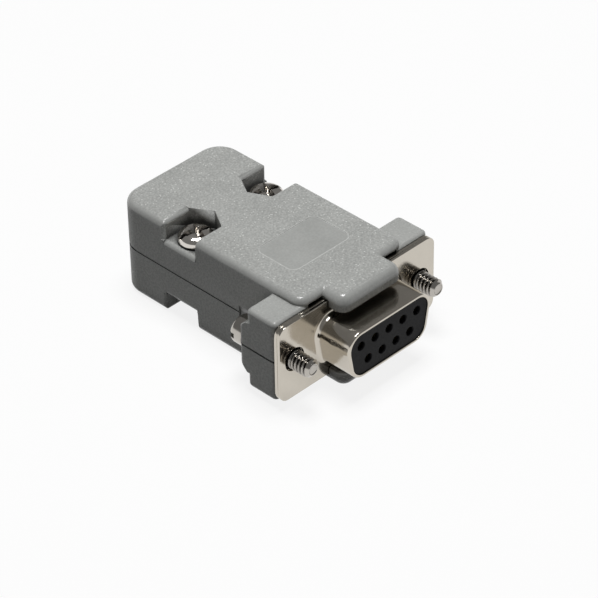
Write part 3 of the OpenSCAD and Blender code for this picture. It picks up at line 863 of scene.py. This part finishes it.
class CONNECTOR_OT_jackscrews(bpy.types.Operator):
    """Build the threaded jackscrews"""

    bl_idname = "connector.jackscrews"
    bl_label = "Jackscrews"

    def execute(self, context):
        settings = context.scene.connector_screws
        plating = context.scene.connector_plating
        finish = finish_named(
            "bright_screws",
            plated_metal,
            colour=plating.jack,
            roughness=plating.roughness,
            wave_depth=0.006 * MM,
            scratch_depth=0.001 * MM,
            # painted shade in the slot and the thread roots
            grime=0.9,
        )
        upright = Matrix.Rotation(-math.pi / 2, 4, "X")
        for node in JACKSCREWS:
            low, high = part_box(node)
            centre = (low.x + high.x) / 2
            head_r = (high.x - low.x) / 2
            grown = bmesh.new()
            lathe(grown, self.screw_rings(low.y, high.y, head_r, settings), settings.around)
            piece = to_piece(grown, node + "_threaded")
            depth = settings.jack_head * settings.slot_share
            slot_size = (4 * head_r, settings.slot, 2 * depth)
            carve(piece, [cutter("slot", slot_size, (0, 0, low.y))])
            piece.data.transform(Matrix.Translation((centre, 0, 0)) @ upright)
            sharpen(piece, CRISP_SCREW)
            dress(piece, finish)
            seat(piece, node, "plated_screws", node)
        return {"FINISHED"}

    def screw_rings(self, back, end, head_r, settings):
        """Rings of a whole jackscrew, from its head to the cup in its end."""
        shank = settings.jack_shank
        start = end - settings.thread
        head = rim_rings(back - settings.jack_head, back, head_r, settings.jack_rim)
        rings = [(back * 2 - height, radius) for height, radius in head[::-1]]
        rings += [(back + settings.jack_head, shank), (start, shank)]
        rings += thread_rings(start + 2 * STEP, end, settings, settings.jack_tip)
        return rings + self.cup_rings(end, settings.crest - settings.jack_tip, settings)

    def cup_rings(self, end, radius, settings, share=0.86, steps=6):
        """Rings of the shallow cup that thread rolling leaves in a share of a screw's end."""
        lip = share * radius
        angles = [math.pi / 2 * i / steps for i in range(steps)]
        return [(end - settings.jack_cup * math.sin(a), lip * math.cos(a)) for a in angles]


class CONNECTOR_OT_hood_screws(bpy.types.Operator):
    """Build the hood screws with slotted cross heads"""

    bl_idname = "connector.hood_screws"
    bl_label = "Hood screws"

    def execute(self, context):
        settings = context.scene.connector_screws
        plating = context.scene.connector_plating
        finish = finish_named(
            "tumbled_heads",
            plated_metal,
            colour=plating.head,
            roughness=plating.head_roughness,
            wave_depth=0.03 * MM,
            scratch_depth=0.001 * MM,
            # painted shade in the recess and the thread roots
            grime=0.9,
            wave=0.6 * MM,
        )
        low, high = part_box("hood_screws")
        centre_y = (low.y + high.y) / 2
        head_r = (high.y - low.y) / 2
        offset = high.x - head_r
        shelf = high.z - settings.hood_head
        turned = Matrix.Rotation(settings.slot_turn, 4, "Z")
        whole = bmesh.new()
        for side in (-1, 1):
            grown = bmesh.new()
            rings = thread_rings(low.z, shelf - STEP, settings)
            rings += self.head_rings(shelf, high.z, head_r)
            lathe(grown, rings, settings.around)
            piece = to_piece(grown, "screw")
            carve(piece, self.recess_tools(high.z, head_r, settings))
            self.soften(piece, settings)
            piece.data.transform(Matrix.Translation((side * offset, centre_y, 0)) @ turned)
            whole.from_mesh(piece.data)
            drop(piece)
        screws = to_piece(whole, "hood_screws_threaded")
        sharpen(screws, CRISP_SCREW)
        dress(screws, finish)
        seat(screws, HOOD, "plated_screws", "hood_screws")
        return {"FINISHED"}

    def recess_tools(self, top, head_r, settings):
        """Blocks that cut the through slot and the tapered cross in a head."""
        centre = (0, 0, top)
        depth = settings.hood_head * settings.slot_share
        through = cutter("slot", (4 * head_r, settings.slot, 2 * depth), centre, (1.0, 0.5))
        width, length, height = 1.4 * settings.slot, 1.5 * head_r, 2.4 * depth
        wide_foot, long_foot = 0.45, 0.35
        cross = cutter("cross", (width, length, height), centre, (wide_foot, long_foot))
        along = cutter("along", (length, width, height), centre, (long_foot, wide_foot))
        return [through, cross, along]

    def soften(self, piece, settings):
        """Rounds the recess's edges, which catch the light."""
        grown = bmesh.new()
        grown.from_mesh(piece.data)
        bmesh.ops.remove_doubles(grown, verts=grown.verts[:], dist=NEAR)
        round_edges(grown, settings.slot_edge, angle=40.0)
        grown.to_mesh(piece.data)
        grown.free()

    def head_rings(self, shelf, top, radius, rim=0.3 * MM, steps=21):
        """Pan head: an undercut foot, a narrow rim and a domed crown."""
        undercut, shoulder, flat_top = 1.4 * rim, 1.6 * rim, 0.02 * MM
        rise, fullness = 0.8, 0.66
        rings = [(shelf, radius - undercut), (shelf + rim, radius)]
        base = shelf + shoulder
        for i in range(steps):
            angle = math.pi / 2 * i / steps
            height = base + (top - base) * math.sin(angle) ** rise
            rings.append((height, radius * math.cos(angle) ** fullness))
        return rings + [(top, flat_top)]


class CONNECTOR_OT_clamp(bpy.types.Operator):
    """Dress the cable clamp inside the hood"""

    bl_idname = "connector.clamp"
    bl_label = "Cable clamp"

    def execute(self, context):
        plating = context.scene.connector_plating
        finish = finish_named(
            "zinc_clamp",
            plated_metal,
            colour=plating.clamp,
            roughness=plating.clamp_roughness,
            wave_depth=0.004 * MM,
            scratch_depth=0.002 * MM,
        )
        for node in STRAPS:
            grown = cad_mesh(node)
            round_edges(grown, plating.sheet_edge)
            settle(to_piece(grown, node + "_bent"), finish, "clamp_steel", node)
        dress(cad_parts["clamp_screws"], finish)
        return {"FINISHED"}


def seen_rays(tree):
    """One for rays by which the camera, metal and clear pieces see the surroundings."""
    path = add(tree, "ShaderNodeLightPath").outputs
    seen = math_node(tree, "MAXIMUM", path["Is Camera Ray"], path["Is Glossy Ray"])
    return math_node(tree, "MAXIMUM", seen, path["Is Transmission Ray"])


def mix_shaders(tree, factor, a, b):
    """Mixes two shader nodes."""
    return add(tree, "ShaderNodeMixShader", {0: factor, 1: a.outputs[0], 2: b.outputs[0]})


def floor_finish(stage):
    """White with the object's shadow where it is seen, and quieter where it sends light back."""
    finish = bpy.data.materials.new("pale_floor")
    finish.use_nodes = True
    tree = finish.node_tree
    tree.nodes.clear()
    glow = add(tree, "ShaderNodeEmission", {"Strength": 1.0})
    lit = add(tree, "ShaderNodeBsdfDiffuse", {"Color": (*stage.floor, 1.0)})
    quiet = add(tree, "ShaderNodeBsdfDiffuse", {"Color": (*[stage.bounce] * 3, 1.0)})
    shown = mix_shaders(tree, stage.shadow, glow, lit)
    mixed = mix_shaders(tree, seen_rays(tree), quiet, shown)
    add(tree, "ShaderNodeOutputMaterial", {"Surface": mixed.outputs[0]})
    return finish


class CONNECTOR_OT_stage(bpy.types.Operator):
    """Set the camera, the pale floor and the studio light"""

    bl_idname = "connector.stage"
    bl_label = "Stage"

    def execute(self, context):
        stage = context.scene.connector_stage
        self.set_camera(context.scene, stage)
        self.lay_floor(stage)
        self.hang_lamp(context.scene, stage)
        self.light_world(context.scene, stage)
        context.scene.view_settings.view_transform = "Standard"
        return {"FINISHED"}

    def set_camera(self, scene, stage):
        """Sets the camera at the photograph's viewing angle."""
        data = bpy.data.cameras.new("camera")
        data.lens = stage.lens
        data.sensor_width = SENSOR_MM
        data.clip_start = CLIP_START
        camera = bpy.data.objects.new("camera", data)
        right, up = Vector(CAMERA_RIGHT), Vector(CAMERA_UP)
        turned = Matrix((right, up, right.cross(up))).transposed().to_4x4()
        camera.matrix_world = Matrix.Translation(Vector(stage.camera)) @ turned
        scene.collection.objects.link(camera)
        scene.camera = camera

    def lay_floor(self, stage):
        """Lays the floor just under the part."""
        grown = bmesh.new()
        bmesh.ops.create_grid(grown, x_segments=1, y_segments=1, size=FLOOR_REACH)
        bmesh.ops.translate(grown, vec=(0, 0, CAD_BOX[0][2] - STEP), verts=grown.verts[:])
        floor = to_piece(grown, "floor")
        dress(floor, floor_finish(stage))

    def hang_lamp(self, scene, stage):
        """Hangs the softbox above the part."""
        data = bpy.data.lights.new("overhead", "AREA")
        data.shape = "RECTANGLE"
        data.size = stage.lamp_width
        data.size_y = stage.lamp_length
        data.energy = stage.key
        lamp = bpy.data.objects.new("overhead", data)
        lamp.location = stage.lamp
        scene.collection.objects.link(lamp)

    def light_world(self, scene, stage):
        """Even light from all round, and a bright horizon where the surroundings are seen."""
        world = bpy.data.worlds.new("studio")
        world.use_nodes = True
        tree = world.node_tree
        tree.nodes.clear()
        way = add(tree, "ShaderNodeTexCoord").outputs["Generated"]
        fall = remap(tree, upward(tree, way), *HORIZON, 1.0, stage.sky)
        shown = add(tree, "ShaderNodeBackground", {"Color": WHITE, "Strength": fall})
        even = add(tree, "ShaderNodeBackground", {"Color": WHITE, "Strength": stage.fill})
        mixed = mix_shaders(tree, seen_rays(tree), even, shown)
        add(tree, "ShaderNodeOutputWorld", {"Surface": mixed.outputs[0]})
        scene.world = world


class CONNECTOR_PT_panel(bpy.types.Panel):
    """Lists the connector's pieces"""

    bl_idname = "CONNECTOR_PT_panel"
    bl_label = "Connector"
    bl_space_type = "VIEW_3D"
    bl_region_type = "UI"
    bl_category = "Connector"

    def draw(self, context):
        for step in STEPS:
            self.layout.operator("connector." + step)
        for group in SETTINGS:
            box = self.layout.box()
            settings = getattr(context.scene, group)
            for name in settings.__annotations__:
                box.prop(settings, name)


STEPS = (
    "hood",
    "shells",
    "insulators",
    "contacts",
    "jackscrews",
    "hood_screws",
    "clamp",
    "stage",
)
SETTINGS = {
    "connector_hood": HoodSettings,
    "connector_plating": PlatingSettings,
    "connector_moulding": MouldingSettings,
    "connector_screws": ScrewSettings,
    "connector_stage": StageSettings,
}
OPERATORS = (
    CONNECTOR_OT_hood,
    CONNECTOR_OT_shells,
    CONNECTOR_OT_insulators,
    CONNECTOR_OT_contacts,
    CONNECTOR_OT_jackscrews,
    CONNECTOR_OT_hood_screws,
    CONNECTOR_OT_clamp,
    CONNECTOR_OT_stage,
)


def register():
    """Makes the settings, the steps and the panel known to Blender."""
    for kind in (*SETTINGS.values(), *OPERATORS, CONNECTOR_PT_panel):
        bpy.utils.register_class(kind)
    for name, kind in SETTINGS.items():
        setattr(bpy.types.Scene, name, PointerProperty(type=kind))


def unregister():
    """Takes the panel, the steps and the settings out again."""
    for name in SETTINGS:
        delattr(bpy.types.Scene, name)
    for kind in (CONNECTOR_PT_panel, *reversed(OPERATORS), *reversed(SETTINGS.values())):
        bpy.utils.unregister_class(kind)


def main():
    """Builds everything in order."""
    register()
    for step in STEPS:
        getattr(bpy.ops.connector, step)()


if __name__ == "__main__":
    main()
